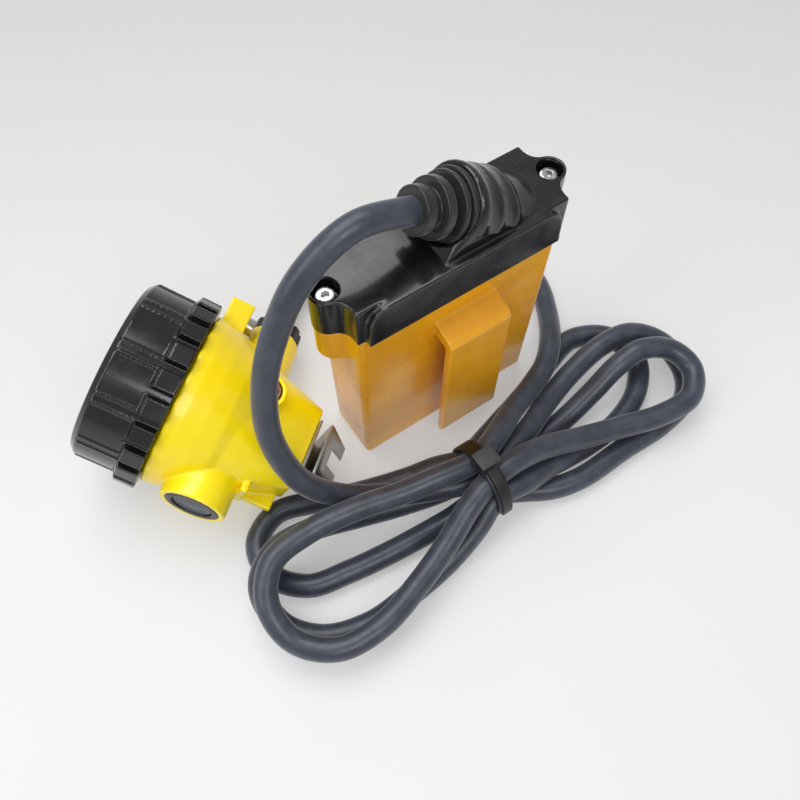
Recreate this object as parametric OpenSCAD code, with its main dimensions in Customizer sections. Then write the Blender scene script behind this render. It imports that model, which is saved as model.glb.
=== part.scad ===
// Miner's cap lamp: a belt battery pack and a headpiece, joined by a heavy rubber cord.
// The origin is the centre of the pack's base, +Z is up and +X runs along the pack's length.
// Headpiece parts are drawn in their own frame, with +Z out of the lens, +Y to the switch
// and z = 0 at the front edge of the shell, and in_head() then lays that frame on its side.

/* [Battery pack] */
// Length of the pack over its end faces
pack_len = 95; // [76:1:120]
// Depth of the pack from front face to back face
pack_depth = 31.5; // [29.5:0.5:40]
// Height of the pack from its base to the top of the cover
pack_h = 122; // [101:1:150]
// How far each side face leans in on its way down to the base
pack_draft = 1.6; // [0.5:0.1:2.5]
// Wall of the case and of the cover's skirt
case_wall = 2.4; // [2:0.1:3]
// Height of the cover from its skirt's edge to its top
cover_h = 20; // [17:0.5:24]
// Thickness of the cover's top
cover_top = 5; // [4:0.5:6]
// How far the cover's front panel stands proud of the case
panel_proud = 3; // [1.5:0.5:4]
// Radius of the screw ears at both ends
ear_r = 6.5; // [6:0.25:8]
// Diameter of the cover screws' thread
screw_d = 4; // [3:0.5:5]

/* [Belt clip] */
// Width of the belt clip
clip_w = 30; // [24:1:40]
// Thickness of the belt clip's tongue
clip_t = 4; // [3:0.5:5]
// Gap between the tongue and the case, for the belt
belt_gap = 7; // [4.5:0.5:9]

/* [Cells] */
// Diameter of one cell
cell_d = 18.4; // [16:0.1:22]
// Length of one cell
cell_len = 65; // [54:1:70]

/* [Cord] */
// Diameter of the cord
cord_d = 10.5; // [8.75:0.25:10.75]
// Length of the boot that stands out of the hood
boot_len = 20; // [17:1:24]

/* [Headpiece] */
// Outer diameter of the bezel ring
bezel_d = 80; // [76:1:96]
// Length of the bezel ring along the lens axis
bezel_len = 30.5; // [28:0.5:36]
// How far the grip lugs stand proud of the bezel ring
lug_proud = 3.5; // [2:0.5:4]
// Number of smooth bays around the bezel ring
bezel_bays = 11; // [8:1:12]
// Wall of the shell
shell_wall = 2.6; // [2.2:0.1:3.2]
// Thickness of the lens
lens_t = 3; // [2:0.5:4]
// Depth of the shell behind its front edge
shell_len = 83; // [80:1:96]
// Diameter of the switch button
button_d = 18; // [15:0.5:21.5]
// Travel of the switch button
button_travel = 1.5; // [1:0.25:2.5]
// Diameter of the charging keyhole
key_d = 9; // [7.5:0.5:11]

/* [Fits] */
// Radial clearance of the bezel ring on the shell's neck
bezel_clear = 0.08; // [0.05:0.01:0.1]
// Radial clearance of the button in its ring
button_clear = 0.1; // [0.05:0.01:0.1]
// Clearance around pieces that are dropped into place
drop_clear = 0.2; // [0.1:0.05:0.3]

/* [Hidden] */

$fn = 64;
hull_fn = 32;
eps = 0.01;
thread_play = 0.05;                     // radial room between a screw and its thread

// ---- pack, derived ----
half_len = pack_len / 2;
half_depth = pack_depth / 2;
part_z = pack_h - cover_h;              // plane where the cover's skirt meets the case
corner_r = 2.5;
case_inset = 0.5;                       // the case is this much smaller than the cover all round
ear_x = half_len + ear_r - 3.5;         // the screws stand just outside the end faces
ear_fillet = 7;                         // hollow fillet beside each ear
lip_h = 5;                              // lip of the case that enters the cover
lip_wall = 2;
gasket_t = 2;
head_h = screw_d;                       // a socket head is as high as its thread is wide
bore_r = 0.875 * screw_d + 1.7;         // counterbore around a cover screw's head
sink = 3;                               // how deep a cover screw's head sits below the top
insert_h = 8;
insert_r = screw_d / 2 + 1.25;
boss_drop = 20;                         // reach of the case's screw bosses below the cover
lip_half_len = half_len - case_wall - drop_clear;
lip_half_depth = half_depth - case_wall - drop_clear;
inner_half_len = half_len - case_inset - pack_draft - case_wall;

// ---- belt clip, derived ----
clip_x = 3;                             // the clip stands a little to the right of centre
clip_z0 = 7;                            // free end of the tongue
clip_z1 = part_z - 15;                  // top of the clip's root on the case
clip_root = 8;                          // depth of the root, downwards
clip_y = -half_depth - belt_gap;        // inner face of the tongue

// ---- cells, derived ----
cell_gap = 1;
cell_pitch = cell_d + cell_gap;
cell_count = floor((2 * inner_half_len - 1) / cell_pitch);
row_len = (cell_count - 1) * cell_pitch;
pad_t = 3;
strip_t = 0.3;
strip_w = 8;
cell_z = case_wall + pad_t + strip_t;
pad_top_z = cell_z + cell_len + strip_t;
board_z = pad_top_z + pad_t;
board_t = 1.6;

// ---- boot and hood, derived ----
boot_tilt = 25;                         // the boot climbs at this angle towards -X
hood_x = 24;                            // where the boot's axis leaves the cover's top
hood_r = half_depth - 0.5;
hood_run = 22;                          // along the axis, from the cover's top to the mouth
hood_left = 33;                         // how far the hood reaches towards -X along the cover
mouth_r = hood_r;
boot_end = hood_run + boot_len;
socket_depth = 8;
cord_r = cord_d / 2;
wire_r = 3.5;                           // passage for the cord's inner wires
boot_core_r = cord_r + 2.5;
plug_r = boot_core_r + 3;               // the boot's plug, inside the hood
ring_r = half_depth - 1.75;             // largest ring of the boot
// The boot's rings: start and length as shares of boot_len, and how much less than ring_r
rings = [[0, 0.13, 0], [0.17, 0.11, 1], [0.42, 0.2, 2.6]];
collar_len = 4.5;
squeeze = 0.05;                         // how much a rubber bore is smaller than the cord

// ---- cable tie, derived ----
tie_at = [-14, -59, 18.5];              // centre of the bundle inside the tie
tie_w = 7.5;
tie_t = 1.6;
strand_pitch = 11;                      // distance between neighbouring strands in the bundle
strand_dy = strand_pitch / 2;
strand_dz = 9.5;
bundle_r = strand_pitch + cord_r - 0.3; // inner radius of the strap, which grips the cord
tie_head = [10, 9, 7];

// ---- headpiece, derived ----
head_turn = 128;                        // compass direction of the lens, from +X towards +Y
head_tilt = 22;                         // how far the lens looks up
bezel_r = bezel_d / 2;
neck_r = bezel_r - 4.5;
front_lip = 2.5;                        // the bezel's lip in front of the lens
seal_t = 1.5;
lens_gap = 0.05;
bezel_z1 = seal_t + lens_t + lens_gap + front_lip;
bezel_z0 = bezel_z1 - bezel_len;
head_at = [-121.5, 56.5, (bezel_r + lug_proud) * cos(head_tilt) - bezel_z0 * sin(head_tilt)];
shoulder_z = bezel_z0 - 0.5;
lens_r = neck_r - 0.5;
aperture_r = bezel_r - 9;
lug_len = 11;
lug_count = 2 * bezel_bays;
neck_inner_r = neck_r - shell_wall;
tail_z = -shell_len;
tail_half_w = 20;
tail_half_h = 14;
button_z = -48.5;
button_face = bezel_r + 2.5;            // height of the switch boss above the lens axis
seat_r = button_d / 2 + 3;              // outer radius of the button's ring
boss_r = seat_r + 2.7;
boss_floor = bezel_r - 16;              // bottom of the switch chamber
ring_h = 4.5;
flange_t = 2;
switch_h = 5;
stem_end = boss_floor + switch_h + 1.2 + button_travel + 0.1;
spring_r = 6;
spring_end = boss_floor + button_travel + 0.4;
fin_t = 11;
fin_z0 = shoulder_z - 1.5 - fin_t;
fin_reach = bezel_r + 12;
fin_half_w = 10;
gland_z = -51.5;
gland_turn = 16;                        // the gland leans towards the floor side by this angle
tower_r = 12.5;
tower_end = bezel_r + 12;
nut_r = 11.5;
nut_len = 9;
gland_end = tower_end + nut_len;
grommet_r = cord_r + 2.5;
grommet_len = 10;
pin_r = 4.2;
pin_proud = 3.5;                        // how far the contact stands out of the fin
pin_sunk = 3;
pin_y = -bezel_r - 6;
key_turn = 18;                          // the keyhole stands this far round from the top
key_z = -56;
key_wall = 1.5;
key_face = 29.5;                        // height of the keyhole's face above the lens axis
key_depth = 10;
spreader_z = -32;
spreader_t = 4;
spreader_r = neck_inner_r - drop_clear;
pillar_r = 3.5;
pillar_ring = spreader_r - 5.5;         // the pillars stand on this radius
pillar_turns = [0, 140, 240];
pillar_screw = 3;
led_t = 1.6;
led_board_r = 10;
led_hole_r = 4.5;
reflector_wall = 1.2;
driver_r = 19;
post_ring = 14;                         // the driver board's posts stand on this radius
post_h = 7;
plate_t = 1.2;
plate_gap = 4;                          // gap between the clip's plates, for the cap's bracket
clip_half_w = 12;
clip_tip_half_w = 10;
clip_slot_half_w = 4;                   // slot in the outer tongue
clip_up = 16;
clip_down = 12;
clip_drop = 14;                         // how far the outer tongue hangs down
clip_flare = 11;                        // how far the tongue reaches behind the outer plate
clip_screw = 3;
clip_screw_y = 8.5;

// ---- the cord's route ----
// It starts on the boot's axis, arches down to the floor, passes through the tie seven times
// with three loops on either side of it, and runs behind the pack to end on the gland's axis.
boot_in = 16;                           // where the cord starts, along the boot's axis
gland_in = gland_end - 13;              // where the cord ends, along the gland's axis
function on_boot_axis(t) = [hood_x - t * cos(boot_tilt), 0, pack_h + t * sin(boot_tilt)];
function to_world(p) =
    let (x1 = p[0] * sin(head_tilt) + p[2] * cos(head_tilt),
         z1 = -p[0] * cos(head_tilt) + p[2] * sin(head_tilt))
    [head_at[0] + x1 * cos(head_turn) - p[1] * sin(head_turn),
     head_at[1] + x1 * sin(head_turn) + p[1] * cos(head_turn),
     head_at[2] + z1];
function on_gland_axis(t) = to_world([t * sin(gland_turn), -t * cos(gland_turn), gland_z]);
// A strand's place in the tie: columns towards +Y, rows upwards
function in_tie(column, row) = tie_at + [0, column * strand_dy, row * strand_dz];

// Points of the arch: distance from the boot's end along X, then Y, then height as a share of
// the boot's end's height
arch = [[-23, 1, 1.04], [-44, 1, 0.955], [-59, -1, 0.8], [-69, -5, 0.63], [-74, -13, 0.46],
        [-70, -24.5, 0.29], [-56, -33, 0.16]];
to_tie = [[-50, -43.5, 16.8], [-33, -52, 17.5]];
right_low = [
    [4, -55.5, 18.5], [20, -50.5, 17], [36, -43.5, 13], [56, -37.5, 13], [76, -35, 16.2],
    [92, -37.5, 16.4], [104, -49, 12], [106, -65, 5.5], [96, -76.5, 5.3], [78, -80.7, 5.3],
    [54, -80.5, 5.3], [28, -80.7, 5.3], [13, -77, 5.3], [2, -71, 5.5]
];
left_low = [
    [-34, -63.5, 5.5], [-62, -61.5, 5.3], [-84, -58.5, 5.3], [-102, -54, 5.3],
    [-113, -41, 5.3], [-111, -25, 5.3], [-97, -17.5, 5.3], [-80, -22.5, 5.3], [-62, -29.5, 5.3],
    [-38, -37, 6.5], [-27, -41.5, 12.5]
];
right_mid = [
    [-2, -43.5, 13.5], [13, -38, 8], [34, -31.5, 5.3], [54, -24, 5.3], [72, -20, 5.3],
    [88, -29, 5.3], [91.5, -46, 5.3], [80, -60, 5.3], [61, -68, 5.3], [40, -69.5, 5.5],
    [27, -69.5, 8.5], [14, -70, 14.2], [2, -71, 17.2]
];
left_mid = [
    [-28, -75, 12], [-46, -79, 5.8], [-66, -81.5, 5.3], [-88, -82.5, 5.3], [-108, -76, 5.3],
    [-120, -62, 7.5], [-120, -46, 14.5], [-108, -36.5, 16.8], [-90, -36, 15],
    [-68, -40.5, 9], [-50, -45, 5.5], [-32, -50, 6.5]
];
right_top = [
    [4, -54, 7.5], [20, -54.5, 6], [38, -53.5, 6.5], [58, -51, 12.5], [73, -49, 19.5],
    [87, -49.5, 22.5], [100, -57, 20], [103, -69, 17], [93, -79.5, 16.3], [75, -79.5, 16.3],
    [54, -73.5, 16.4], [34, -68, 18.5], [18, -64.5, 23.5], [2, -63.5, 28]
];
left_top = [
    [-28, -68.5, 25.5], [-45, -75.5, 19], [-65, -82.5, 16.2], [-86, -88, 16],
    [-106, -86, 15.5], [-119.5, -73, 16], [-121, -56, 22.6], [-111, -43.5, 27.4],
    [-91, -40.5, 27], [-70, -43.5, 28.5], [-50, -48, 27.8], [-32, -51.5, 28.8]
];
to_pack = [[3, -47.5, 26.5], [18, -40, 21], [33, -34.5, 17.8], [46, -28.5, 16.8]];
past_end = [[10.5, -18, 15], [22.5, -2, 9.5], [31.5, 17, 5.5], [31.5, 40, 5.3]];
to_gland = [[65, 60, 5.3], [42, 73, 5.3], [14, 79, 5.3], [-12, 81, 5.3], [-31, 77.5, 8.3]];
boot_tip = on_boot_axis(boot_end);
cord_path = concat(
    [on_boot_axis(boot_in), boot_tip],
    [for (p = arch) [boot_tip[0] + p[0], p[1], boot_tip[2] * p[2]]],
    to_tie, [in_tie(0, 0)],
    right_low, [in_tie(-1, -1)],
    left_low, [in_tie(2, 0)],
    right_mid, [in_tie(-2, 0)],
    left_mid, [in_tie(1, -1)],
    right_top, [in_tie(-1, 1)],
    left_top, [in_tie(1, 1)],
    to_pack, [for (p = past_end) [half_len + p[0], p[1], p[2]]],
    to_gland, [on_gland_axis(gland_end + 5), on_gland_axis(gland_in)]
);

// ---- shared shapes ----
module rounded_rect(x, y, r) {
    square([2 * x, 2 * (y - r)], center = true);
    square([2 * (x - r), 2 * y], center = true);
    for (sx = [-1, 1], sy = [-1, 1])
        translate([sx * (x - r), sy * (y - r)]) circle(r = r, $fn = hull_fn);
}

// Corner posts of one level of the tapered case
module corner_posts(z, h, grow, r) {
    for (sx = [-1, 1], sy = [-1, 1])
        translate([sx * (half_len + grow - r), sy * (half_depth + grow - r), z])
            cylinder(h = h, r = r, $fn = hull_fn);
}

// Tapered block: full size at the top z1, leaning in by pack_draft at the base z0
module tapered_block(z0, z1, grow, r) {
    hull() {
        corner_posts(z0, eps, grow - pack_draft - 1, r);
        corner_posts(z0 + 1.2, eps, grow - pack_draft, r);
        corner_posts(z1 - eps, eps, grow, r);
    }
}

// Plan of the cover: a rectangle with an ear at each end, joined by hollow fillets
module cover_plan(grow = 0) {
    offset(r = -ear_fillet, $fn = 48) offset(delta = ear_fillet + grow) {
        square([2 * half_len, 2 * half_depth], center = true);
        for (sx = [-1, 1]) translate([sx * ear_x, 0]) circle(r = ear_r);
    }
}

module at_screws() {
    for (sx = [-1, 1]) translate([sx * ear_x, 0, 0]) children();
}

// Places children on the boot's axis, at this distance from the cover's top
module on_boot(t) {
    translate([hood_x, 0, pack_h]) rotate([0, boot_tilt - 90, 0]) translate([0, 0, t]) children();
}

// Socket-head screw, head upwards, with the underside of its head at z = 0
module socket_screw(d, length) {
    difference() {
        union() {
            cylinder(h = d, r = 0.875 * d);
            translate([0, 0, -length]) cylinder(h = length + eps, r = d / 2);
        }
        translate([0, 0, d * 0.45]) cylinder(h = d, r = 0.45 * d, $fn = 6);
    }
}

// Pan-head screw, head upwards, with the underside of its head at z = 0
module pan_screw(d, length) {
    difference() {
        union() {
            cylinder(h = 0.6 * d, r = 0.95 * d);
            translate([0, 0, -length]) cylinder(h = length + eps, r = d / 2);
        }
        for (a = [0, 90]) rotate(a) translate([-0.6 * d, -0.12 * d, 0.3 * d])
            cube([1.2 * d, 0.24 * d, d]);
    }
}

module in_head() {
    translate(head_at) rotate([0, 90 - head_tilt, head_turn]) children();
}

// Places children on the switch's axis, at this height above the lens axis
module on_switch(h) {
    translate([0, 0, button_z]) rotate([-90, 0, 0]) translate([0, 0, h]) children();
}

// Places children on the gland's axis, at this distance from the lens axis
module on_gland(t) {
    translate([0, 0, gland_z]) rotate([90, 0, gland_turn]) translate([0, 0, t]) children();
}

// Places children on the keyhole's axis; its face is at key_face
module on_key(h) {
    translate([-key_face * cos(key_turn), -key_face * sin(key_turn), key_z])
        rotate([0, -90, 0]) translate([0, 0, h - key_face]) children();
}

module at_pillars(z) {
    for (a = pillar_turns) rotate(a) translate([pillar_ring, 0, z]) children();
}

module at_clip_screws(z) {
    for (sy = [-1, 1]) translate([0, sy * clip_screw_y, z]) children();
}

// Ring around the current Z axis
module tube(outer, inner, h) {
    difference() {
        cylinder(h = h, r = outer);
        translate([0, 0, -eps]) cylinder(h = h + 2 * eps, r = inner);
    }
}

// Round tube of radius r swept along a list of points, without twist
function unit(v) = v / norm(v);
function heading(p, i) =
    unit((i > 0 ? unit(p[i] - p[i - 1]) : [0, 0, 0])
         + (i < len(p) - 1 ? unit(p[i + 1] - p[i]) : [0, 0, 0]));
function level(v, t) = unit(v - (v * t) * t);
module swept_tube(p, r, sides) {
    t = [for (i = [0:len(p) - 1]) heading(p, i)];
    n = [for (i = 0, v = level([0, 1, 0.1], t[0]); i < len(p);
              i = i + 1, v = level(v, t[min(i, len(p) - 1)])) v];
    points = [for (i = [0:len(p) - 1], k = [0:sides - 1])
        p[i] + r * (cos(360 * k / sides) * n[i] + sin(360 * k / sides) * cross(t[i], n[i]))];
    last = (len(p) - 1) * sides;
    polyhedron(
        points = points,
        faces = concat(
            [[for (k = [0:sides - 1]) k]],
            [for (i = [0:len(p) - 2], k = [0:sides - 1])
                let (a = i * sides + k, b = i * sides + (k + 1) % sides)
                [a, a + sides, b + sides, b]],
            [[for (k = [sides - 1:-1:0]) last + k]]),
        convexity = 10);
}

// ---- battery pack ----
module belt_clip() {
    translate([clip_x - clip_w / 2, 0, 0]) rotate([90, 0, 90]) linear_extrude(clip_w)
        polygon([
            [case_wall - half_depth, clip_z1], [clip_y - clip_t + 2, clip_z1 - 3.5],
            [clip_y - clip_t, clip_z1 - 6], [clip_y - clip_t, clip_z0 + 3],
            [clip_y - clip_t + 1.5, clip_z0], [clip_y - 0.5, clip_z0], [clip_y, clip_z0 + 2],
            [clip_y, clip_z1 - clip_root - 1], [case_wall - half_depth, clip_z1 - clip_root]
        ]);
}

module screw_bosses() {
    intersection() {
        translate([0, 0, part_z - boss_drop]) linear_extrude(boss_drop) cover_plan(-case_inset);
        for (sx = [-1, 1]) translate([sx * (half_len - 1), 0, part_z]) rotate_extrude($fn = 48)
            polygon([
                [0, -boss_drop], [5, -boss_drop], [8.5, 1.5 - boss_drop], [11, 4 - boss_drop],
                [12.5, 8 - boss_drop], [13, 13 - boss_drop], [13, 0], [0, 0]
            ]);
    }
}

module case_body() {
    color("goldenrod") difference() {
        union() {
            tapered_block(0, part_z, -case_inset, corner_r);
            screw_bosses();
            belt_clip();
            translate([0, 0, part_z - 3]) linear_extrude(lip_h + 3)
                rounded_rect(lip_half_len, lip_half_depth, 1.5);
        }
        tapered_block(case_wall, part_z - 3, -case_inset - case_wall, 1);
        translate([0, 0, part_z - 4]) linear_extrude(lip_h + 5)
            rounded_rect(lip_half_len - lip_wall, lip_half_depth - lip_wall, 1);
        at_screws() {
            translate([0, 0, part_z - insert_h]) cylinder(h = insert_h + 1, r = insert_r);
            translate([0, 0, part_z - insert_h - 2]) cylinder(h = 3, r = screw_d / 2 + 0.3);
        }
    }
}

module front_panel() {
    translate([0, 0.5 - half_depth, 0]) rotate([90, 0, 0]) linear_extrude(panel_proud + 0.5)
        hull() {
            for (sx = [-1, 1]) translate([sx * (half_len - 13), pack_h - 9])
                circle(r = 9, $fn = hull_fn);
            translate([3.5 - half_len, part_z]) square([pack_len - 7, 2]);
        }
}

module hood() {
    hull() {
        translate([hood_x, 0, pack_h - 1]) cylinder(h = 1, r = hood_r + 0.25, $fn = hull_fn);
        translate([hood_x - hood_left, -hood_r, pack_h - 1]) cube([hood_left, 2 * hood_r, 1]);
        on_boot(hood_run - 1) cylinder(h = 1, r = mouth_r, $fn = hull_fn);
    }
}

module pack_cover() {
    color("#222222") difference() {
        union() {
            translate([0, 0, part_z]) linear_extrude(cover_h) cover_plan();
            front_panel();
            hood();
        }
        translate([0, 0, part_z - 1]) linear_extrude(lip_h + gasket_t + 1)
            rounded_rect(half_len - case_wall, half_depth - case_wall, 1.5);
        translate([0, 0, part_z]) linear_extrude(cover_h - cover_top)
            rounded_rect(lip_half_len - lip_wall, lip_half_depth - lip_wall, 1);
        at_screws() {
            translate([0, 0, part_z - 1]) cylinder(h = cover_h, r = screw_d / 2 + drop_clear);
            translate([0, 0, pack_h - sink - head_h]) cylinder(h = cover_h, r = bore_r);
        }
        on_boot(hood_run - socket_depth) cylinder(h = socket_depth + 1, r = plug_r);
        on_boot(hood_run) cylinder(h = boot_len, r = ring_r + drop_clear);
        on_boot(-4) cylinder(h = hood_run, r = wire_r);
    }
}

module cover_gasket() {
    color("dimgray") translate([0, 0, part_z + lip_h]) linear_extrude(gasket_t) difference() {
        rounded_rect(lip_half_len, lip_half_depth, 1.5);
        rounded_rect(lip_half_len - lip_wall, lip_half_depth - lip_wall, 1);
    }
}

module cover_screws() {
    reach = cover_h - sink - head_h + insert_h - 1;
    color("silver") at_screws() translate([0, 0, pack_h - sink - head_h])
        socket_screw(screw_d - 2 * thread_play, reach);
}

module threaded_inserts() {
    color("peru") at_screws() translate([0, 0, part_z - insert_h])
        tube(insert_r, screw_d / 2, insert_h);
}

module battery_cells() {
    color("steelblue") for (i = [0:cell_count - 1])
        translate([i * cell_pitch - row_len / 2, 0, cell_z]) cylinder(h = cell_len, r = cell_d / 2);
}

// One nickel strip over the cells from..to
module cell_strip(from, to, z) {
    translate([from * cell_pitch - row_len / 2 - strip_w / 2, -strip_w / 2, z])
        cube([(to - from) * cell_pitch + strip_w, strip_w, strip_t]);
}

module cell_strips() {
    color("lightgray") {
        for (i = [0:2:cell_count - 1])
            cell_strip(i, min(i + 1, cell_count - 1), cell_z - strip_t);
        cell_strip(0, 0, cell_z + cell_len);
        for (i = [1:2:cell_count - 1])
            cell_strip(i, min(i + 1, cell_count - 1), cell_z + cell_len);
    }
}

module cell_pads() {
    color("slategray") for (z = [case_wall, pad_top_z]) translate([0, 0, z]) linear_extrude(pad_t)
        rounded_rect(row_len / 2 + cell_d / 2, cell_d / 2, 3);
}

module protection_board() {
    color("darkgreen") translate([0, 0, board_z]) {
        linear_extrude(board_t) rounded_rect(row_len / 2, cell_d / 2 - 1, 1);
        for (x = [-18, -8, 2]) translate([x, -3, board_t - eps]) cube([6, 5, 2]);
        translate([14, -5, board_t - eps]) cube([10, 9, 6]);
    }
}

// ---- cord, boot and tie ----
module cable_boot() {
    color("#1c1c1c") on_boot(0) rotate_extrude() difference() {
        union() {
            translate([0, hood_run - socket_depth]) square([plug_r, socket_depth + eps]);
            translate([0, hood_run]) square([boot_core_r, boot_len]);
            for (ring = rings) translate([0, hood_run + ring[0] * boot_len])
                square([ring_r - ring[2], ring[1] * boot_len]);
            translate([0, boot_end - collar_len]) square([boot_core_r + 1.2, collar_len]);
        }
        square([wire_r, boot_end]);
        translate([0, boot_in]) square([cord_r - squeeze, boot_end]);
    }
}

module cord() {
    color("#3a3f45") swept_tube(cord_path, cord_r, 10);
}

module cable_tie() {
    color("#151515") translate(tie_at) rotate([0, 90, 0]) {
        translate([0, 0, -tie_w / 2]) tube(bundle_r + tie_t, bundle_r, tie_w);
        translate([-bundle_r - tie_head[2], -tie_head[1] / 2, -tie_head[0] / 2])
            cube([tie_head[2], tie_head[1], tie_head[0]]);
        // the cut tail lies on the strap, on the side away from the pack
        translate([0, 0, -tie_w / 3]) intersection() {
            tube(bundle_r + 2 * tie_t, bundle_r + tie_t / 2, tie_w / 1.5);
            translate([-bundle_r - 2 * tie_t, -bundle_r - 2 * tie_t, 0])
                cube([bundle_r + 2 * tie_t + 2, bundle_r + 2 * tie_t, tie_w]);
        }
    }
}

// ---- headpiece ----
// Outer shape of the shell behind the neck; shrink makes the cavity
module bowl(shrink) {
    rotate_extrude() polygon([
        [0, shoulder_z - 38 + shrink], [bezel_r - 15 - shrink, shoulder_z - 38 + shrink],
        [bezel_r - 11 - shrink, shoulder_z - 30], [bezel_r - 6.5 - shrink, shoulder_z - 22],
        [bezel_r - 3.5 - shrink, shoulder_z - 14], [bezel_r - 1.2 - shrink, shoulder_z - 6],
        [bezel_r - 0.7 - shrink, shoulder_z - 1 - shrink],
        [bezel_r - 1.7 - shrink, shoulder_z - shrink], [0, shoulder_z - shrink]
    ]);
}

// Tail that carries the helmet clip: from a disc inside the bowl to a rounded block
module tail(shrink, end) {
    hull() {
        translate([0, 0, shoulder_z - 22]) cylinder(h = 1, r = bezel_r - 7.5 - shrink, $fn = 48);
        for (sx = [-1, 1], sy = [-1, 1])
            translate([sx * (tail_half_h - 7), sy * (tail_half_w - 7), tail_z + end])
                cylinder(h = 4, r = 7 - shrink, $fn = hull_fn);
    }
}

module lug_bracket() {
    translate([-10, 14, tail_z + 16.5]) cube([17.5, 16, 3]);
    translate([4, 14, tail_z + 3]) cube([3.5, 15, 14]);
}

module fin() {
    difference() {
        translate([1 - fin_half_w, -fin_reach, fin_z0])
            cube([2 * fin_half_w, fin_reach - bezel_r + 12, fin_t]);
        translate([1, pin_y, fin_z0 - 1]) cylinder(h = pin_sunk + 1, r = pin_r);
    }
}

module head_shell() {
    color("gold") in_head() difference() {
        union() {
            difference() {
                union() {
                    translate([0, 0, shoulder_z - 1]) cylinder(h = -shoulder_z + 1, r = neck_r);
                    bowl(0);
                    tail(0, 0);
                    on_switch(neck_inner_r / 2) cylinder(h = button_face - neck_inner_r / 2, r = boss_r);
                    on_gland(neck_inner_r / 2) cylinder(h = tower_end - neck_inner_r / 2, r = tower_r);
                    lug_bracket();
                    fin();
                }
                translate([0, 0, shoulder_z - 3]) cylinder(h = bezel_len, r = neck_inner_r);
                bowl(shell_wall);
                tail(shell_wall, 9);
            }
            // switch chamber, gland bush, keyhole bush and screw pillars inside the cavity
            on_switch(boss_floor - shell_wall)
                cylinder(h = button_face - boss_floor + shell_wall, r = boss_r);
            on_gland(tower_end - grommet_len - 6) cylinder(h = grommet_len + 6, r = tower_r);
            on_key(key_face - key_depth - 2) cylinder(h = key_depth + 2, r = key_d / 2 + key_wall + 2);
            intersection() {
                at_pillars(spreader_z - 24) cylinder(h = 24, r = pillar_r);
                bowl(0);
            }
        }
        on_switch(boss_floor) cylinder(h = bezel_r, r = button_d / 2 + 1.6);
        on_switch(button_face - ring_h) cylinder(h = bezel_r, r = seat_r);
        on_gland(tower_end - grommet_len) cylinder(h = grommet_len + 1, r = grommet_r);
        on_gland(neck_inner_r / 2) cylinder(h = bezel_r, r = wire_r);
        on_key(key_face - key_depth) cylinder(h = key_depth + 9, r = key_d / 2 + key_wall);
        at_pillars(spreader_z - 12) cylinder(h = 13, r = pillar_screw / 2);
        at_clip_screws(tail_z - 1) cylinder(h = 8, r = clip_screw / 2);
    }
}

module grip_lugs() {
    for (i = [0:lug_count - 1]) rotate([90, 0, i * 360 / lug_count])
        translate([0, 0, -4]) linear_extrude(8) polygon([
            [bezel_r - 1, bezel_z0], [bezel_r + lug_proud, bezel_z0],
            [bezel_r + lug_proud, bezel_z0 + lug_len - 2], [bezel_r - 1, bezel_z0 + lug_len]
        ]);
}

module bay_ridges() {
    for (i = [0:bezel_bays - 1], side = [-1, 1])
        rotate((i + 0.25) * 360 / bezel_bays) translate([bezel_r - 1, side * 2.2 - 0.5, 0])
            translate([0, 0, bezel_z0 + lug_len - 1]) cube([1.5, 1, bezel_len - lug_len - 2]);
}

module bezel_ring() {
    bore = neck_r + bezel_clear;
    step = bezel_z1 - front_lip;
    color("#1a1a1a") in_head() {
        rotate_extrude($fn = 96) polygon([
            [bore, bezel_z0], [bezel_r - 0.5, bezel_z0], [bezel_r, bezel_z0 + 0.5],
            [bezel_r, bezel_z1 - 2.5], [bezel_r - 2.5, bezel_z1], [aperture_r + 1.5, bezel_z1],
            [aperture_r, bezel_z1 - 1.5], [aperture_r, step], [bore, step]
        ]);
        grip_lugs();
        bay_ridges();
    }
}

module lens() {
    color("aliceblue", 0.5) in_head() translate([0, 0, seal_t]) cylinder(h = lens_t, r = lens_r);
}

module lens_seal() {
    color("black") in_head() tube(lens_r, aperture_r + 0.5, seal_t);
}

// Inside of the reflector: a parabola from the LED's hole to the front edge
module reflector_bowl() {
    deep = spreader_z + spreader_t + 3.5;
    rim = spreader_r - reflector_wall;
    polygon(concat(
        [[0, 2], [0, deep]],
        [for (i = [0:10]) let (r = led_hole_r + (rim - led_hole_r) * i / 10)
            [r, deep * (1 - (pow(r, 2) - pow(led_hole_r, 2)) / (pow(rim, 2) - pow(led_hole_r, 2)))]],
        [[rim, 2]]));
}

module reflector() {
    foot_r = led_board_r + 0.6;
    color("whitesmoke") in_head() rotate_extrude() {
        difference() {
            intersection() {
                offset(delta = reflector_wall) reflector_bowl();
                translate([led_hole_r, spreader_z]) square([spreader_r, -spreader_z]);
            }
            reflector_bowl();
        }
        translate([foot_r, spreader_z + spreader_t]) square([1.4, 4.6]);
    }
}

module led_board() {
    color("white") in_head() translate([0, 0, spreader_z + spreader_t]) {
        cylinder(h = led_t, r = led_board_r);
        translate([-3, -3, 0]) cube([6, 6, led_t + 0.8]);
        translate([0, 0, led_t + 0.8]) intersection() {
            sphere(r = 2.6);
            cylinder(h = 3, r = 3);
        }
    }
}

module heat_spreader() {
    color("lightsteelblue") in_head() difference() {
        union() {
            translate([0, 0, spreader_z]) cylinder(h = spreader_t, r = spreader_r);
            for (a = pillar_turns) rotate(a + 60) translate([post_ring, 0, spreader_z - post_h])
                cylinder(h = post_h + eps, r = 2.5);
        }
        at_pillars(spreader_z - 1) cylinder(h = spreader_t + 2, r = pillar_screw / 2 + drop_clear);
    }
}

module spreader_screws() {
    color("silver") in_head() at_pillars(spreader_z + spreader_t)
        pan_screw(pillar_screw - 2 * thread_play, spreader_t + 10);
}

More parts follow.
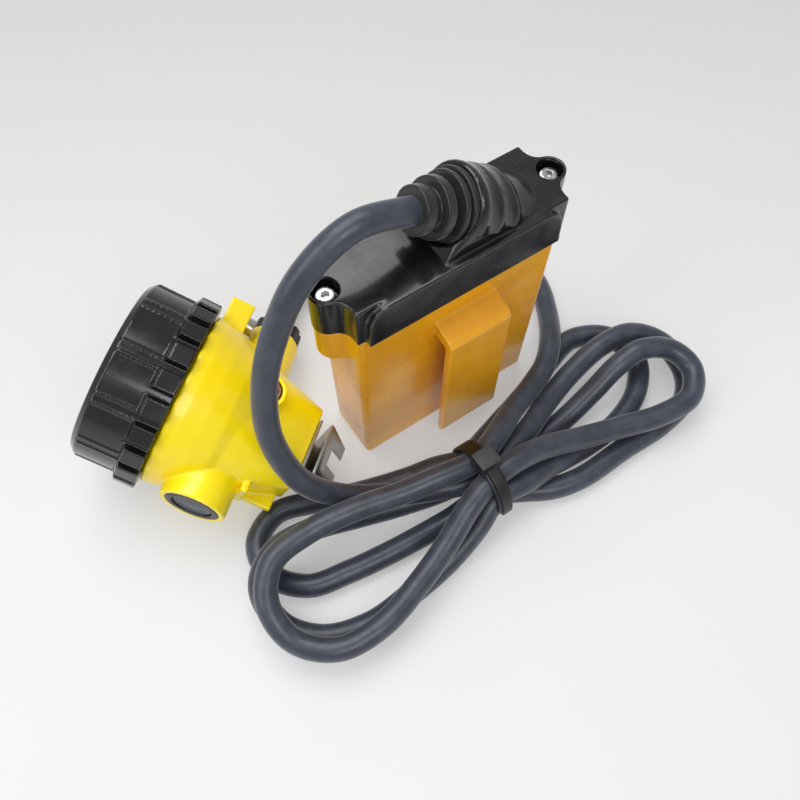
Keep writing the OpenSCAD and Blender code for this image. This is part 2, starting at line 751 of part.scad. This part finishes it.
module driver_board() {
    top = spreader_z - post_h;
    color("darkgreen") in_head() {
        translate([0, 0, top - led_t]) cylinder(h = led_t, r = driver_r);
        translate([-8, -6, top - led_t - 3]) cube([7, 7, 3 + eps]);
        translate([4, -3, top - led_t - 2.5]) cube([5, 8, 2.5 + eps]);
        translate([-3, 7, top - led_t - 4]) cube([6, 6, 4 + eps]);
    }
}

// ---- switch ----
module switch_button() {
    ring_z = button_face - ring_h;
    color("#2b2b2b") in_head() on_switch(0) rotate_extrude() polygon([
        [0, stem_end], [2.5, stem_end], [2.5, ring_z - flange_t],
        [button_d / 2 + 1.3, ring_z - flange_t], [button_d / 2 + 1.3, ring_z],
        [button_d / 2, ring_z], [button_d / 2, button_face - 1.2],
        [button_d / 2 - 1, button_face - 0.4], [button_d / 2 - 4, button_face - 0.1],
        [0, button_face]
    ]);
}

module button_ring() {
    color("#444444") in_head() on_switch(button_face - ring_h)
        tube(seat_r, button_d / 2 + button_clear, ring_h);
}

module button_spring() {
    top = button_face - ring_h - flange_t;
    turns = 3;
    rise = top - spring_end - 1.6;
    coil = [for (k = [0:12 * turns])
        [spring_r * cos(30 * k), spring_r * sin(30 * k), spring_end + 0.8 + rise * k / (12 * turns)]];
    color("silver") in_head() on_switch(0) {
        translate([0, 0, spring_end]) tube(spring_r + 0.6, spring_r - 0.6, 1);
        translate([0, 0, top - 1]) tube(spring_r + 0.6, spring_r - 0.6, 1);
        swept_tube(coil, 0.5, 8);
    }
}

module micro_switch() {
    color("black") in_head() on_switch(boss_floor) {
        translate([-3, -3, 0]) cube([6, 6, switch_h]);
        cylinder(h = switch_h + 1.2, r = 1.7);
    }
}

// ---- charging contacts ----
module contact_pin() {
    color("gold") in_head() translate([1, pin_y, fin_z0 - pin_proud])
        cylinder(h = pin_proud + pin_sunk, r = pin_r);
}

module key_socket() {
    color("goldenrod") in_head() on_key(key_face - key_depth)
        tube(key_d / 2 + key_wall, key_d / 2, key_depth);
}

// ---- cord gland ----
module gland_nut() {
    color("#202020") in_head() on_gland(tower_end) difference() {
        cylinder(h = nut_len, r = nut_r);
        translate([0, 0, -1]) cylinder(h = nut_len + 2, r = cord_r + drop_clear);
        for (a = [0:30:330]) rotate(a) translate([nut_r + 0.7, 0, 1]) cylinder(h = nut_len, r = 1.4);
    }
}

module gland_seal() {
    color("black") in_head() on_gland(tower_end - grommet_len)
        tube(grommet_r, cord_r - squeeze, grommet_len);
}

// ---- helmet clip ----
module helmet_clip() {
    outer = -2 * plate_t - plate_gap;       // outer face of the outer plate
    mid = outer / 2;
    color("silver") in_head() translate([0, 0, tail_z]) difference() {
        union() {
            for (z = [-plate_t, outer]) translate([-clip_up, -clip_half_w, z])
                cube([clip_up + clip_down, 2 * clip_half_w, plate_t]);
            translate([clip_down, 0, mid]) rotate([90, 0, 0]) difference() {
                cylinder(h = 2 * clip_half_w, r = -mid, center = true);
                cylinder(h = 3 * clip_half_w, r = -mid - plate_t, center = true);
                translate([mid, 0, 0]) cube([-2 * mid, 40, 3 * clip_half_w], center = true);
            }
            hull() {
                translate([-clip_up, -clip_half_w, outer])
                    cube([plate_t, 2 * clip_half_w, plate_t]);
                translate([clip_drop - clip_up, -clip_tip_half_w, outer - clip_flare])
                    cube([plate_t, 2 * clip_tip_half_w, eps]);
            }
        }
        translate([-clip_up - 1, -clip_slot_half_w, outer - clip_flare - 1])
            cube([clip_drop + plate_t + 2, 2 * clip_slot_half_w, clip_flare - 3]);
        at_clip_screws(-plate_t - 1) cylinder(h = plate_t + 2, r = clip_screw / 2 + drop_clear);
    }
}

module clip_screws() {
    color("silver") in_head() at_clip_screws(tail_z - plate_t) rotate([180, 0, 0])
        pan_screw(clip_screw - 2 * thread_play, plate_t + 5);
}

case_body();
pack_cover();
cover_gasket();
cover_screws();
threaded_inserts();
battery_cells();
cell_strips();
cell_pads();
protection_board();
cable_boot();
cord();
cable_tie();
head_shell();
bezel_ring();
lens();
lens_seal();
reflector();
led_board();
heat_spreader();
spreader_screws();
driver_board();
switch_button();
button_ring();
button_spring();
micro_switch();
contact_pin();
key_socket();
gland_nut();
gland_seal();
helmet_clip();
clip_screws();
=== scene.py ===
"""Looks of the miner's cap lamp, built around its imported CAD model."""

import math

import bmesh
import bpy
from mathutils import Matrix, Vector


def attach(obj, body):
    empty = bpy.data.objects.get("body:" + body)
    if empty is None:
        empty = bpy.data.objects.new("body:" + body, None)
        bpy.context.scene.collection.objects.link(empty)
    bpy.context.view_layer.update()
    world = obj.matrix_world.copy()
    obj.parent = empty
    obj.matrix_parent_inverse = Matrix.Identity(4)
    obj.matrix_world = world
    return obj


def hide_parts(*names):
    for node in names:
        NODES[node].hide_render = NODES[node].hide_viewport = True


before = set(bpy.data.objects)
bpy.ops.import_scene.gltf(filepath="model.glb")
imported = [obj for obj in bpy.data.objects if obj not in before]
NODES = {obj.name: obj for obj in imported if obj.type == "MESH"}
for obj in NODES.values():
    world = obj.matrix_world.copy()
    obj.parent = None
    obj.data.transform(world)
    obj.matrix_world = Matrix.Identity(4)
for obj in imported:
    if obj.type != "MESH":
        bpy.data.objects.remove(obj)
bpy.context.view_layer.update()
MM = 0.001

# ---- the camera, at the photograph's angle ----
VIEW_AZIMUTH, VIEW_ELEVATION, VIEW_ROLL = -34.36, 62.39, 0.47
VIEW_DISTANCE = 0.41588
VIEW_TARGET = Vector((-16.96, 1.55, 0)) * MM
VIEW_LENS = 38.25

# ---- the headpiece's frame: +Z out of the lens, +Y to the switch, -X up ----
HEAD_TURN, HEAD_TILT = math.radians(128), math.radians(22)
HEAD_AT = Vector((-121.5, 56.5, 49.117)) * MM
HEAD = (
    Matrix.Translation(HEAD_AT)
    @ Matrix.Rotation(HEAD_TURN, 4, "Z")
    @ Matrix.Rotation(math.pi / 2 - HEAD_TILT, 4, "Y")
)
BUTTON_Z, BUTTON_FACE, BUTTON_R, BUTTON_RING = -48.5, 42.5, 9.0, 4.5
NECK_R, BORE_EASE, BORE_BAND = 35.5, 0.25, (-0.4, 0.6)
GLAND_TURN, GLAND_Z, GLAND_END = math.radians(16), -51.5, 61.0

# ---- the pack's boot, on an axis that climbs towards -X ----
BOOT_TILT, HOOD_X, PACK_H = math.radians(25), 24.0, 122.0
BOOT_START, BOOT_END = 16.0, 42.0
HOOD_RIBS, RIB_WIDTH, RIB_HEIGHT = (2.5, 11, 19.5), 1.9, 0.5
HOOD_R_MIN, HOOD_R_MAX, HOOD_MOUTH = 10, 20, 21.6
HOOD_FOOT, HOOD_UNDER = 0.6, -2  # the cover's own top and the hood's underside stay flat

# ---- the cord's route, in millimetres ----
CORD_D = 10.5
TIE_AT, STRAND_DY, STRAND_DZ = Vector((-14, -59, 18.5)), 5.5, 9.5
ARCH = [
    (-23, 1, 1.04), (-44, 1, 0.955), (-59, -1, 0.8), (-69, -5, 0.63), (-74, -13, 0.46),
    (-70, -24.5, 0.29), (-56, -33, 0.16),
]
TO_TIE = [(-50, -43.5, 16.8), (-33, -52, 17.5)]
RIGHT_LOW = [
    (4, -55.5, 18.5), (20, -50.5, 17), (36, -43.5, 13), (56, -37.5, 13), (76, -35, 16.2),
    (92, -37.5, 16.4), (104, -49, 12), (106, -65, 5.5), (96, -76.5, 5.3), (78, -80.7, 5.3),
    (54, -80.5, 5.3), (28, -80.7, 5.3), (13, -77, 5.3), (2, -71, 5.5),
]
LEFT_LOW = [
    (-34, -63.5, 5.5), (-62, -61.5, 5.3), (-84, -58.5, 5.3), (-102, -54, 5.3),
    (-113, -41, 5.3), (-111, -25, 5.3), (-97, -17.5, 5.3), (-80, -22.5, 5.3), (-62, -29.5, 5.3),
    (-38, -37, 6.5), (-27, -41.5, 12.5),
]
RIGHT_MID = [
    (-2, -43.5, 13.5), (13, -38, 8), (34, -31.5, 5.3), (54, -24, 5.3), (72, -20, 5.3),
    (88, -29, 5.3), (91.5, -46, 5.3), (80, -60, 5.3), (61, -68, 5.3), (40, -69.5, 5.5),
    (27, -69.5, 8.5), (14, -70, 14.2), (2, -71, 17.2),
]
LEFT_MID = [
    (-28, -75, 12), (-46, -79, 5.8), (-66, -81.5, 5.3), (-88, -82.5, 5.3), (-108, -76, 5.3),
    (-120, -62, 7.5), (-120, -46, 14.5), (-108, -36.5, 16.8), (-90, -36, 15),
    (-68, -40.5, 9), (-50, -45, 5.5), (-32, -50, 6.5),
]
RIGHT_TOP = [
    (4, -54, 7.5), (20, -54.5, 6), (38, -53.5, 6.5), (58, -51, 12.5), (73, -49, 19.5),
    (87, -49.5, 22.5), (100, -57, 20), (103, -69, 17), (93, -79.5, 16.3), (75, -79.5, 16.3),
    (54, -73.5, 16.4), (34, -68, 18.5), (18, -64.5, 23.5), (2, -63.5, 28),
]
LEFT_TOP = [
    (-28, -68.5, 25.5), (-45, -75.5, 19), (-65, -82.5, 16.2), (-86, -88, 16),
    (-106, -86, 15.5), (-119.5, -73, 16), (-121, -56, 22.6), (-111, -43.5, 27.4),
    (-91, -40.5, 27), (-70, -43.5, 28.5), (-50, -48, 27.8), (-32, -51.5, 28.8),
]
BEHIND_PACK = [
    (3, -47.5, 26.5), (18, -40, 21), (33, -34.5, 17.8), (46, -28.5, 16.8), (58, -18, 15),
    (70, -2, 9.5), (79, 17, 5.5), (79, 40, 5.3), (65, 60, 5.3), (42, 73, 5.3), (14, 79, 5.3),
    (-12, 81, 5.3), (-31, 77.5, 8.3),
]


def on_boot_axis(t):
    return Vector((HOOD_X - t * math.cos(BOOT_TILT), 0, PACK_H + t * math.sin(BOOT_TILT)))


def on_gland_axis(t):
    local = Vector((t * math.sin(GLAND_TURN), -t * math.cos(GLAND_TURN), GLAND_Z)) * MM
    return (HEAD @ local) / MM


def in_tie(column, row):
    return TIE_AT + Vector((0, column * STRAND_DY, row * STRAND_DZ))


def cord_route():
    """The route's points, in millimetres, from inside the boot to inside the gland."""
    tip = on_boot_axis(BOOT_END)
    loops = [
        (RIGHT_LOW, (-1, -1)), (LEFT_LOW, (2, 0)), (RIGHT_MID, (-2, 0)), (LEFT_MID, (1, -1)),
        (RIGHT_TOP, (-1, 1)), (LEFT_TOP, (1, 1)),
    ]
    route = [on_boot_axis(BOOT_START), tip]
    route += [Vector((tip.x + x, y, tip.z * share)) for x, y, share in ARCH]
    route += [*map(Vector, TO_TIE), in_tie(0, 0)]
    for points, place in loops:
        route += [*map(Vector, points), in_tie(*place)]
    route += map(Vector, BEHIND_PACK)
    return route + [on_gland_axis(GLAND_END + 5), on_gland_axis(GLAND_END - 13)]


def smooth_path(points, steps):
    """Centripetal Catmull-Rom curve through the points."""
    ends = [points[0] * 2 - points[1], *points, points[-1] * 2 - points[-2]]
    path = []
    for p0, p1, p2, p3 in zip(ends, ends[1:], ends[2:], ends[3:]):
        t1 = math.sqrt((p1 - p0).length)
        t2 = t1 + math.sqrt((p2 - p1).length)
        t3 = t2 + math.sqrt((p3 - p2).length)
        for k in range(steps):
            t = t1 + (t2 - t1) * k / steps
            a1 = p0.lerp(p1, t / t1)
            a2 = p1.lerp(p2, (t - t1) / (t2 - t1))
            a3 = p2.lerp(p3, (t - t2) / (t3 - t2))
            b1 = a1.lerp(a2, t / t2)
            b2 = a2.lerp(a3, (t - t1) / (t3 - t1))
            path.append(b1.lerp(b2, (t - t1) / (t2 - t1)))
    return [*path, points[-1]]


# ---- materials ----
def linear(red, green, blue):
    """A colour of 0 to 255 as the shader's linear values."""
    return (*(((c / 255 + 0.055) / 1.055) ** 2.4 for c in (red, green, blue)), 1.0)


class Nodes:
    """A short way to build a material's node tree."""

    def __init__(self, name, **sockets):
        self.material = bpy.data.materials.new(name)
        self.material.use_nodes = True
        self.tree = self.material.node_tree
        self.shader = self.tree.nodes["Principled BSDF"]
        for key, value in sockets.items():
            self.shader.inputs[key.replace("_", " ")].default_value = value
        self.place = self.tree.nodes.new("ShaderNodeTexCoord").outputs["Object"]

    def add(self, kind, inputs=None, **settings):
        node = self.tree.nodes.new("ShaderNode" + kind)
        for key, value in settings.items():
            setattr(node, key, value)
        for key, value in (inputs or {}).items():
            if isinstance(value, bpy.types.NodeSocket):
                self.tree.links.new(value, node.inputs[key])
            else:
                node.inputs[key].default_value = value
        return node

    def noise(self, size_mm, detail=3.0, stretch=None, turn=(0, 0, 0)):
        """Noise with features of this size; stretch lengthens them along each axis."""
        place = self.place
        if stretch:
            scale = tuple(1 / s for s in stretch)
            place = self.add(
                "Mapping", {"Vector": place, "Scale": scale, "Rotation": turn}
            ).outputs[0]
        inputs = {"Vector": place, "Scale": 1 / (size_mm * MM), "Detail": detail}
        return self.add("TexNoise", inputs).outputs["Fac"]

    def ramp(self, value, low, high, to_low=0.0, to_high=1.0):
        inputs = {"Value": value, "From Min": low, "From Max": high}
        inputs |= {"To Min": to_low, "To Max": to_high}
        return self.add("MapRange", inputs).outputs[0]

    def math(self, operation, a, b):
        node = self.add("Math", {0: a, 1: b}, operation=operation)
        return node.outputs[0]

    def mix(self, share, a, b):
        node = self.tree.nodes.new("ShaderNodeMix")
        node.data_type = "RGBA"
        sockets = [s for s in node.inputs if s.name == "Factor" and s.type == "VALUE"]
        colours = [s for s in node.inputs if s.type == "RGBA"]
        for socket, value in zip([sockets[0], *colours], [share, a, b]):
            if isinstance(value, bpy.types.NodeSocket):
                self.tree.links.new(value, socket)
            else:
                socket.default_value = value
        return next(s for s in node.outputs if s.type == "RGBA")

    def bump(self, height, depth_mm, strength=1.0, under=None):
        inputs = {"Height": height, "Distance": depth_mm * MM, "Strength": strength}
        if under is not None:
            inputs["Normal"] = under
        return self.add("Bump", inputs).outputs[0]

    def link(self, socket, name):
        self.tree.links.new(socket, self.shader.inputs[name])

    def scratches(self, size_mm=0.14, length_mm=9.0, amount=0.65):
        """Fine hairline scratches in two directions, from 0 to 1."""
        along = length_mm / size_mm
        first = self.noise(size_mm, 1.0, (along, 1, 1), (0.3, 0.2, 0.7))
        second = self.noise(size_mm, 1.0, (1, along, 1), (0.8, 0.1, 2.1))
        both = self.math("MAXIMUM", first, second)
        patches = self.ramp(self.noise(14, 2), 0.42, 0.62)
        return self.math("MULTIPLY", self.ramp(both, amount, amount + 0.06), patches)


def moulded_plastic(name, colour, shade, rough=(0.22, 0.38), texture=0.004, marks=0.0, coat=0.0):
    """Moulded plastic: mottled colour, smudged gloss, a faint orange peel and hairline marks."""
    m = Nodes(name, IOR=1.5, Coat_Weight=coat, Coat_Roughness=0.08)
    cloud = m.ramp(m.noise(26, 4), 0.35, 0.68)
    m.link(m.mix(cloud, colour, shade), "Base Color")
    smudge = m.ramp(m.noise(9, 5), 0.3, 0.7, *rough)
    height = m.noise(1.1, 2)
    normal = m.bump(height, texture)
    if marks:
        lines = m.scratches()
        smudge = m.math("ADD", smudge, m.math("MULTIPLY", lines, marks))
        normal = m.bump(lines, -0.006, 0.6, normal)
    m.link(smudge, "Roughness")
    m.link(normal, "Normal")
    return m.material


def rubber(name, colour, shade, rough=(0.42, 0.6), grain=0.02):
    """Rubber: dusty mottling, a soft sheen and a fine grain."""
    m = Nodes(name, IOR=1.5, Sheen_Weight=0.25, Sheen_Roughness=0.45)
    dust = m.ramp(m.noise(7, 6), 0.4, 0.75)
    m.link(m.mix(dust, colour, shade), "Base Color")
    m.link(m.ramp(m.noise(3, 5), 0.3, 0.7, *rough), "Roughness")
    m.link(m.bump(m.noise(0.35, 3), grain, 1.0, m.bump(m.noise(5, 2), 0.05)), "Normal")
    return m.material


def metal(name, colour, rough=(0.18, 0.34), brushed=(40, 1, 1)):
    """Bare metal with brush lines along X and a few darker stains."""
    m = Nodes(name, Metallic=1.0)
    stain = m.ramp(m.noise(6, 5), 0.45, 0.8, 0.0, 0.35)
    m.link(m.mix(stain, colour, tuple(0.55 * c for c in colour[:3]) + (1,)), "Base Color")
    lines = m.noise(0.25, 2, brushed)
    m.link(m.ramp(lines, 0.3, 0.7, *rough), "Roughness")
    m.link(m.bump(lines, 0.004), "Normal")
    return m.material


def plain(name, colour, shade, rough=0.5):
    """Boards, sleeves and foam inside: two tones in a fine mottle."""
    m = Nodes(name, Roughness=rough)
    m.link(m.mix(m.ramp(m.noise(1.6, 4), 0.4, 0.65), colour, shade), "Base Color")
    m.link(m.bump(m.noise(0.6, 3), 0.02), "Normal")
    return m.material


amber = moulded_plastic(
    "amber_plastic", linear(238, 170, 16), linear(224, 154, 12), (0.18, 0.32), marks=0.12, coat=0.3
)
yellow = moulded_plastic(
    "yellow_plastic", linear(249, 226, 2), linear(243, 215, 2), (0.24, 0.38), marks=0.08,
    coat=0.2,
)
black_gloss = moulded_plastic(
    "black_gloss_plastic", linear(13, 13, 15), linear(20, 20, 22), (0.14, 0.27), marks=0.2,
    coat=0.25,
)
black_satin = moulded_plastic(
    "black_satin_plastic", linear(18, 18, 20), linear(27, 27, 29), (0.32, 0.46), 0.01, marks=0.15
)
cord_rubber = rubber("cord_rubber", linear(44, 49, 60), linear(60, 66, 80), (0.3, 0.44), 0.01)
boot_rubber = rubber("boot_rubber", linear(16, 16, 18), linear(26, 26, 28), (0.24, 0.38), 0.008)
seal_rubber = rubber("seal_rubber", linear(40, 40, 42), linear(52, 52, 54))
steel = metal("stainless_steel", linear(198, 197, 194))
spring_steel = metal("spring_steel", linear(176, 174, 170), (0.22, 0.4), (1, 40, 1))
button_grey = moulded_plastic(
    "button_grey_plastic", linear(70, 76, 86), linear(58, 63, 72), (0.34, 0.48), 0.008, marks=0.1
)
bronze = metal("dark_bronze", linear(128, 94, 62), (0.24, 0.38))
brass = metal("brass", linear(214, 180, 104), (0.2, 0.32))
aluminium = metal("turned_aluminium", linear(200, 202, 206), (0.25, 0.4))
mirror = metal("metallised_reflector", linear(236, 236, 236), (0.03, 0.08))
nickel = metal("nickel_strip", linear(205, 200, 188))
board = plain("green_board", linear(30, 96, 52), linear(22, 82, 44), 0.4)
led_white = plain("led_board_white", linear(232, 230, 218), linear(222, 219, 204), 0.45)
sleeve = plain("cell_sleeve", linear(36, 84, 158), linear(30, 74, 144), 0.35)
foam = plain("foam_pad", linear(62, 66, 72), linear(48, 52, 58), 0.9)


def lens_material():
    m = Nodes("clear_lens", IOR=1.5, Transmission_Weight=1.0)
    m.link(m.ramp(m.noise(18, 5), 0.4, 0.8, 0.01, 0.06), "Roughness")
    m.link(m.mix(m.noise(30, 2), linear(246, 250, 252), linear(238, 245, 248)), "Base Color")
    return m.material


# ---- pieces made from the CAD's own shapes ----
WELD_GAP, SMOOTH_FACTOR = 1e-6, 0.5


def use(piece, material):
    piece.data.materials.clear()
    piece.data.materials.append(material)


def apply_all(piece):
    """Turns the piece's modifiers into plain mesh."""
    view = bpy.context.evaluated_depsgraph_get()
    view.update()
    made = bpy.data.meshes.new_from_object(piece.evaluated_get(view))
    piece.modifiers.clear()
    old, piece.data = piece.data, made
    bpy.data.meshes.remove(old)


def moulded(name, nodes, voxel_mm, rounds, body, material):
    """A moulded piece in place of CAD nodes, with its edges softened as tooling does."""
    meshes = []
    for node in nodes:
        copy = NODES[node].copy()
        copy.data = NODES[node].data.copy()
        copy.parent = None
        for key in list(copy.keys()):
            if key.startswith("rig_"):
                del copy[key]
        bpy.context.scene.collection.objects.link(copy)
        meshes.append(copy)
    with bpy.context.temp_override(
        active_object=meshes[0], selected_editable_objects=meshes, selected_objects=meshes
    ):
        if len(meshes) > 1:
            bpy.ops.object.join()
    piece = meshes[0]
    piece.name = piece.data.name = name
    weld = piece.modifiers.new("weld", "WELD")
    weld.merge_threshold = WELD_GAP
    remesh = piece.modifiers.new("remesh", "REMESH")
    remesh.mode = "VOXEL"
    remesh.voxel_size = voxel_mm * MM
    remesh.use_smooth_shade = True
    smooth = piece.modifiers.new("smooth", "SMOOTH")
    smooth.factor, smooth.iterations = SMOOTH_FACTOR, rounds
    apply_all(piece)
    use(piece, material)
    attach(piece, body)
    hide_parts(*nodes)
    return piece


def raise_ribs(lid):
    """Low ribs around the hood: its rim and two behind it."""
    along = (on_boot_axis(1) - on_boot_axis(0)).normalized()
    normals = [vertex.normal.copy() for vertex in lid.data.vertices]
    for vertex, normal in zip(lid.data.vertices, normals):
        place = vertex.co / MM - on_boot_axis(0)
        t = place.dot(along)
        out = place - t * along
        on_hood = place.z >= HOOD_FOOT and out.z >= HOOD_UNDER and t <= HOOD_MOUTH
        if on_hood and HOOD_R_MIN < out.length < HOOD_R_MAX and normal.dot(out) > 0:
            height = sum(math.exp(-(((t - rib) / RIB_WIDTH) ** 2)) for rib in HOOD_RIBS)
            vertex.co += normal * RIB_HEIGHT * height * MM


def ease_bore(ring):
    """Opens the ring's bore a little, so that it turns free of the shell's neck."""
    to_head = HEAD.inverted()
    for vertex in ring.data.vertices:
        place = to_head @ vertex.co
        radius = math.hypot(place.x, place.y)
        if BORE_BAND[0] < radius / MM - NECK_R < BORE_BAND[1]:
            share = 1 + BORE_EASE * MM / radius
            vertex.co = HEAD @ Vector((place.x * share, place.y * share, place.z))


def machined(node, material, bevel_mm=0.15):
    """A CAD node as it is, with its edges broken by a small bevel."""
    piece = NODES[node]
    weld = piece.modifiers.new("weld", "WELD")
    weld.merge_threshold = WELD_GAP
    if bevel_mm:
        bevel = piece.modifiers.new("bevel", "BEVEL")
        bevel.width, bevel.segments = bevel_mm * MM, 2
        bevel.limit_method, bevel.angle_limit = "ANGLE", math.radians(40)
        bevel.harden_normals = True
    use(piece, material)
    for face in piece.data.polygons:
        face.use_smooth = True
    smooth_by_angle(piece)


def smooth_by_angle(piece, degrees=35):
    piece.data.set_sharp_from_angle(angle=math.radians(degrees))


def lathe(name, profile, axis, body, material, steps=96):
    """A round piece: (radius, height) pairs in millimetres, turned about a frame's Z axis."""
    shape = bmesh.new()
    rows = []
    for radius, height in profile:
        if radius < 1e-6:
            rows.append([shape.verts.new((0, 0, height * MM))])
            continue
        rows.append([
            shape.verts.new((
                radius * MM * math.cos(math.tau * k / steps),
                radius * MM * math.sin(math.tau * k / steps),
                height * MM,
            ))
            for k in range(steps)
        ])
    for low, high in zip(rows, rows[1:]):
        for k in range(steps):
            n = (k + 1) % steps
            corners = [low[k % len(low)], low[n % len(low)]]
            corners += [high[n % len(high)], high[k % len(high)]]
            corners = list(dict.fromkeys(corners))
            if len(corners) > 2:
                shape.faces.new(corners)
    bmesh.ops.recalc_face_normals(shape, faces=shape.faces)
    mesh = bpy.data.meshes.new(name)
    shape.to_mesh(mesh)
    shape.free()
    piece = bpy.data.objects.new(name, mesh)
    bpy.context.scene.collection.objects.link(piece)
    piece.matrix_world = axis
    for face in mesh.polygons:
        face.use_smooth = True
    smooth_by_angle(piece, 30)
    use(piece, material)
    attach(piece, body)
    return piece


# ---- camera, cord and tie ----
def make_camera():
    azimuth, elevation = math.radians(VIEW_AZIMUTH), math.radians(VIEW_ELEVATION)
    back = Vector((
        math.sin(azimuth) * math.cos(elevation),
        -math.cos(azimuth) * math.cos(elevation),
        math.sin(elevation),
    ))
    camera = bpy.data.objects.new("camera", bpy.data.cameras.new("camera"))
    bpy.context.scene.collection.objects.link(camera)
    turn = (-back).to_track_quat("-Z", "Y").to_matrix().to_4x4()
    roll = Matrix.Rotation(math.radians(VIEW_ROLL), 4, "Z")
    camera.matrix_world = Matrix.Translation(VIEW_TARGET + back * VIEW_DISTANCE) @ turn @ roll
    camera.data.lens = VIEW_LENS
    camera.data.clip_start, camera.data.clip_end = 0.02, 20
    bpy.context.scene.camera = camera


def make_cord():
    path = [p * MM for p in smooth_path(cord_route(), 8)]
    data = bpy.data.curves.new("cord_run", "CURVE")
    data.dimensions = "3D"
    data.bevel_depth, data.bevel_resolution = CORD_D / 2 * MM, 7
    data.use_fill_caps = True
    line = data.splines.new("POLY")
    line.points.add(len(path) - 1)
    for point, place in zip(line.points, path):
        point.co = (*place, 1)
    line.use_smooth = True
    cord = bpy.data.objects.new("cord_run", data)
    bpy.context.scene.collection.objects.link(cord)
    data.materials.append(cord_rubber)
    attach(cord, "lamp")
    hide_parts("cord")


make_camera()
cable_tie = moulded("cable_tie_strap", ["cable_tie"], 0.28, 3, "lamp", black_satin)
make_cord()

# ---- pack ----
moulded("pack_case", ["case_body"], 0.5, 5, "lamp", amber)
lid = moulded("pack_lid", ["pack_cover"], 0.36, 8, "lamp", black_gloss)
raise_ribs(lid)
moulded("cord_boot", ["cable_boot"], 0.3, 14, "lamp", boot_rubber)
machined("cover_screws", steel, 0.2)
for node, material in {
    "cover_gasket": seal_rubber, "threaded_inserts": brass, "battery_cells": sleeve,
    "cell_strips": nickel, "cell_pads": foam, "protection_board": board,
}.items():
    machined(node, material, 0.1)

# ---- headpiece ----
moulded("lamp_shell", ["head_shell"], 0.45, 9, "lamp", yellow)
bezel = moulded("bezel_grip", ["bezel_ring"], 0.42, 4, "bezel", black_gloss)
ease_bore(bezel)
moulded("gland_collar", ["gland_nut"], 0.3, 3, "lamp", black_satin)
for node, material in {
    "lens_seal": seal_rubber, "reflector": mirror, "led_board": led_white,
    "heat_spreader": aluminium, "spreader_screws": steel, "driver_board": board,
    "micro_switch": black_satin, "contact_pin": steel, "key_socket": bronze,
    "gland_seal": seal_rubber, "helmet_clip": spring_steel, "clip_screws": steel,
    "button_spring": steel, "button_ring": black_satin, "lens": lens_material(),
}.items():
    machined(node, material, 0 if node in ("button_spring", "reflector") else 0.15)

# the button's cap has a raised rim, a shallow groove and a domed middle
STEM_END = 32.0
BUTTON_RIM = [(0, 1.4), (0.15, 1.0), (0.5, 0.7), (1.0, 0.6), (1.5, 0.7), (1.9, 1.0), (2.4, 1.05)]
BUTTON_DOME = [(5.4, 0.8), (4.0, 0.55), (2.6, 0.4), (1.2, 0.3), (0, 0.25)]
button_axis = (
    HEAD @ Matrix.Translation((0, 0, BUTTON_Z * MM)) @ Matrix.Rotation(-math.pi / 2, 4, "X")
)
ring_z = BUTTON_FACE - BUTTON_RING
button_cap = lathe(
    "button_cap",
    [
        (0, STEM_END), (2.3, STEM_END), (2.5, STEM_END + 0.2), (2.5, ring_z - 2.2),
        (10.0, ring_z - 2),
        (BUTTON_R + 1.3, ring_z - 1.8), (BUTTON_R + 1.3, ring_z - 0.1), (BUTTON_R, ring_z),
        *((BUTTON_R - inset, BUTTON_FACE - drop) for inset, drop in BUTTON_RIM),
        *((radius, BUTTON_FACE - drop) for radius, drop in BUTTON_DOME),
    ],
    button_axis, "button", button_grey,
)
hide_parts("switch_button")


# ---- floor and light ----
FLOOR_SIZE, FLOOR_Z = 6, -0.0004


def make_floor():
    bpy.ops.mesh.primitive_plane_add(size=FLOOR_SIZE, location=(0, 0, FLOOR_Z))
    floor = bpy.context.object
    floor.name = "floor"
    # Painted light: the floor glows a little, which lifts its shadows and brightens its
    # reflections.
    m = Nodes("floor_painted_light", Emission_Strength=0.34)
    # Painted shade: the floor's colour and glow darken towards the back and right, where the light
    # falls off.
    lit_near_tone, shaded_far_tone = linear(166, 166, 167), linear(148, 147, 146)
    split = m.add("SeparateXYZ", {"Vector": m.place}).outputs
    away = m.math("ADD", m.math("MULTIPLY", split[0], 0.5), split[1])
    painted_falloff = m.ramp(away, -0.05, 0.35)
    m.link(m.mix(painted_falloff, lit_near_tone, shaded_far_tone), "Base Color")
    m.link(m.mix(painted_falloff, linear(255, 255, 255), linear(236, 235, 233)), "Emission Color")
    m.link(m.ramp(m.noise(60, 3), 0.3, 0.7, 0.5, 0.62), "Roughness")
    use(floor, m.material)


def area_light(name, place, aim, size, power, colour=(1, 1, 1)):
    data = bpy.data.lights.new(name, "AREA")
    data.shape = "RECTANGLE"
    data.size, data.size_y = size
    data.energy, data.color = power, colour
    lamp = bpy.data.objects.new(name, data)
    bpy.context.scene.collection.objects.link(lamp)
    lamp.location = place
    lamp.rotation_euler = (Vector(aim) - Vector(place)).to_track_quat("-Z", "Y").to_euler()


def make_light():
    world = bpy.data.worlds.new("studio")
    world.use_nodes = True
    world.node_tree.nodes["Background"].inputs["Color"].default_value = (0.98, 0.985, 1, 1)
    world.node_tree.nodes["Background"].inputs["Strength"].default_value = 0.46
    bpy.context.scene.world = world
    area_light("ceiling", (-0.06, 0.42, 1.3), (0, 0, 0), (1.15, 1.0), 13)
    area_light("window", (-0.9, 0.1, 0.8), (-0.05, 0, 0.05), (0.5, 0.9), 4.0)
    area_light("front_fill", (-0.15, -0.65, 0.8), (-0.08, 0, 0.06), (0.5, 0.4), 3.0)
    bpy.context.scene.view_settings.view_transform = "Standard"


make_floor()
make_light()
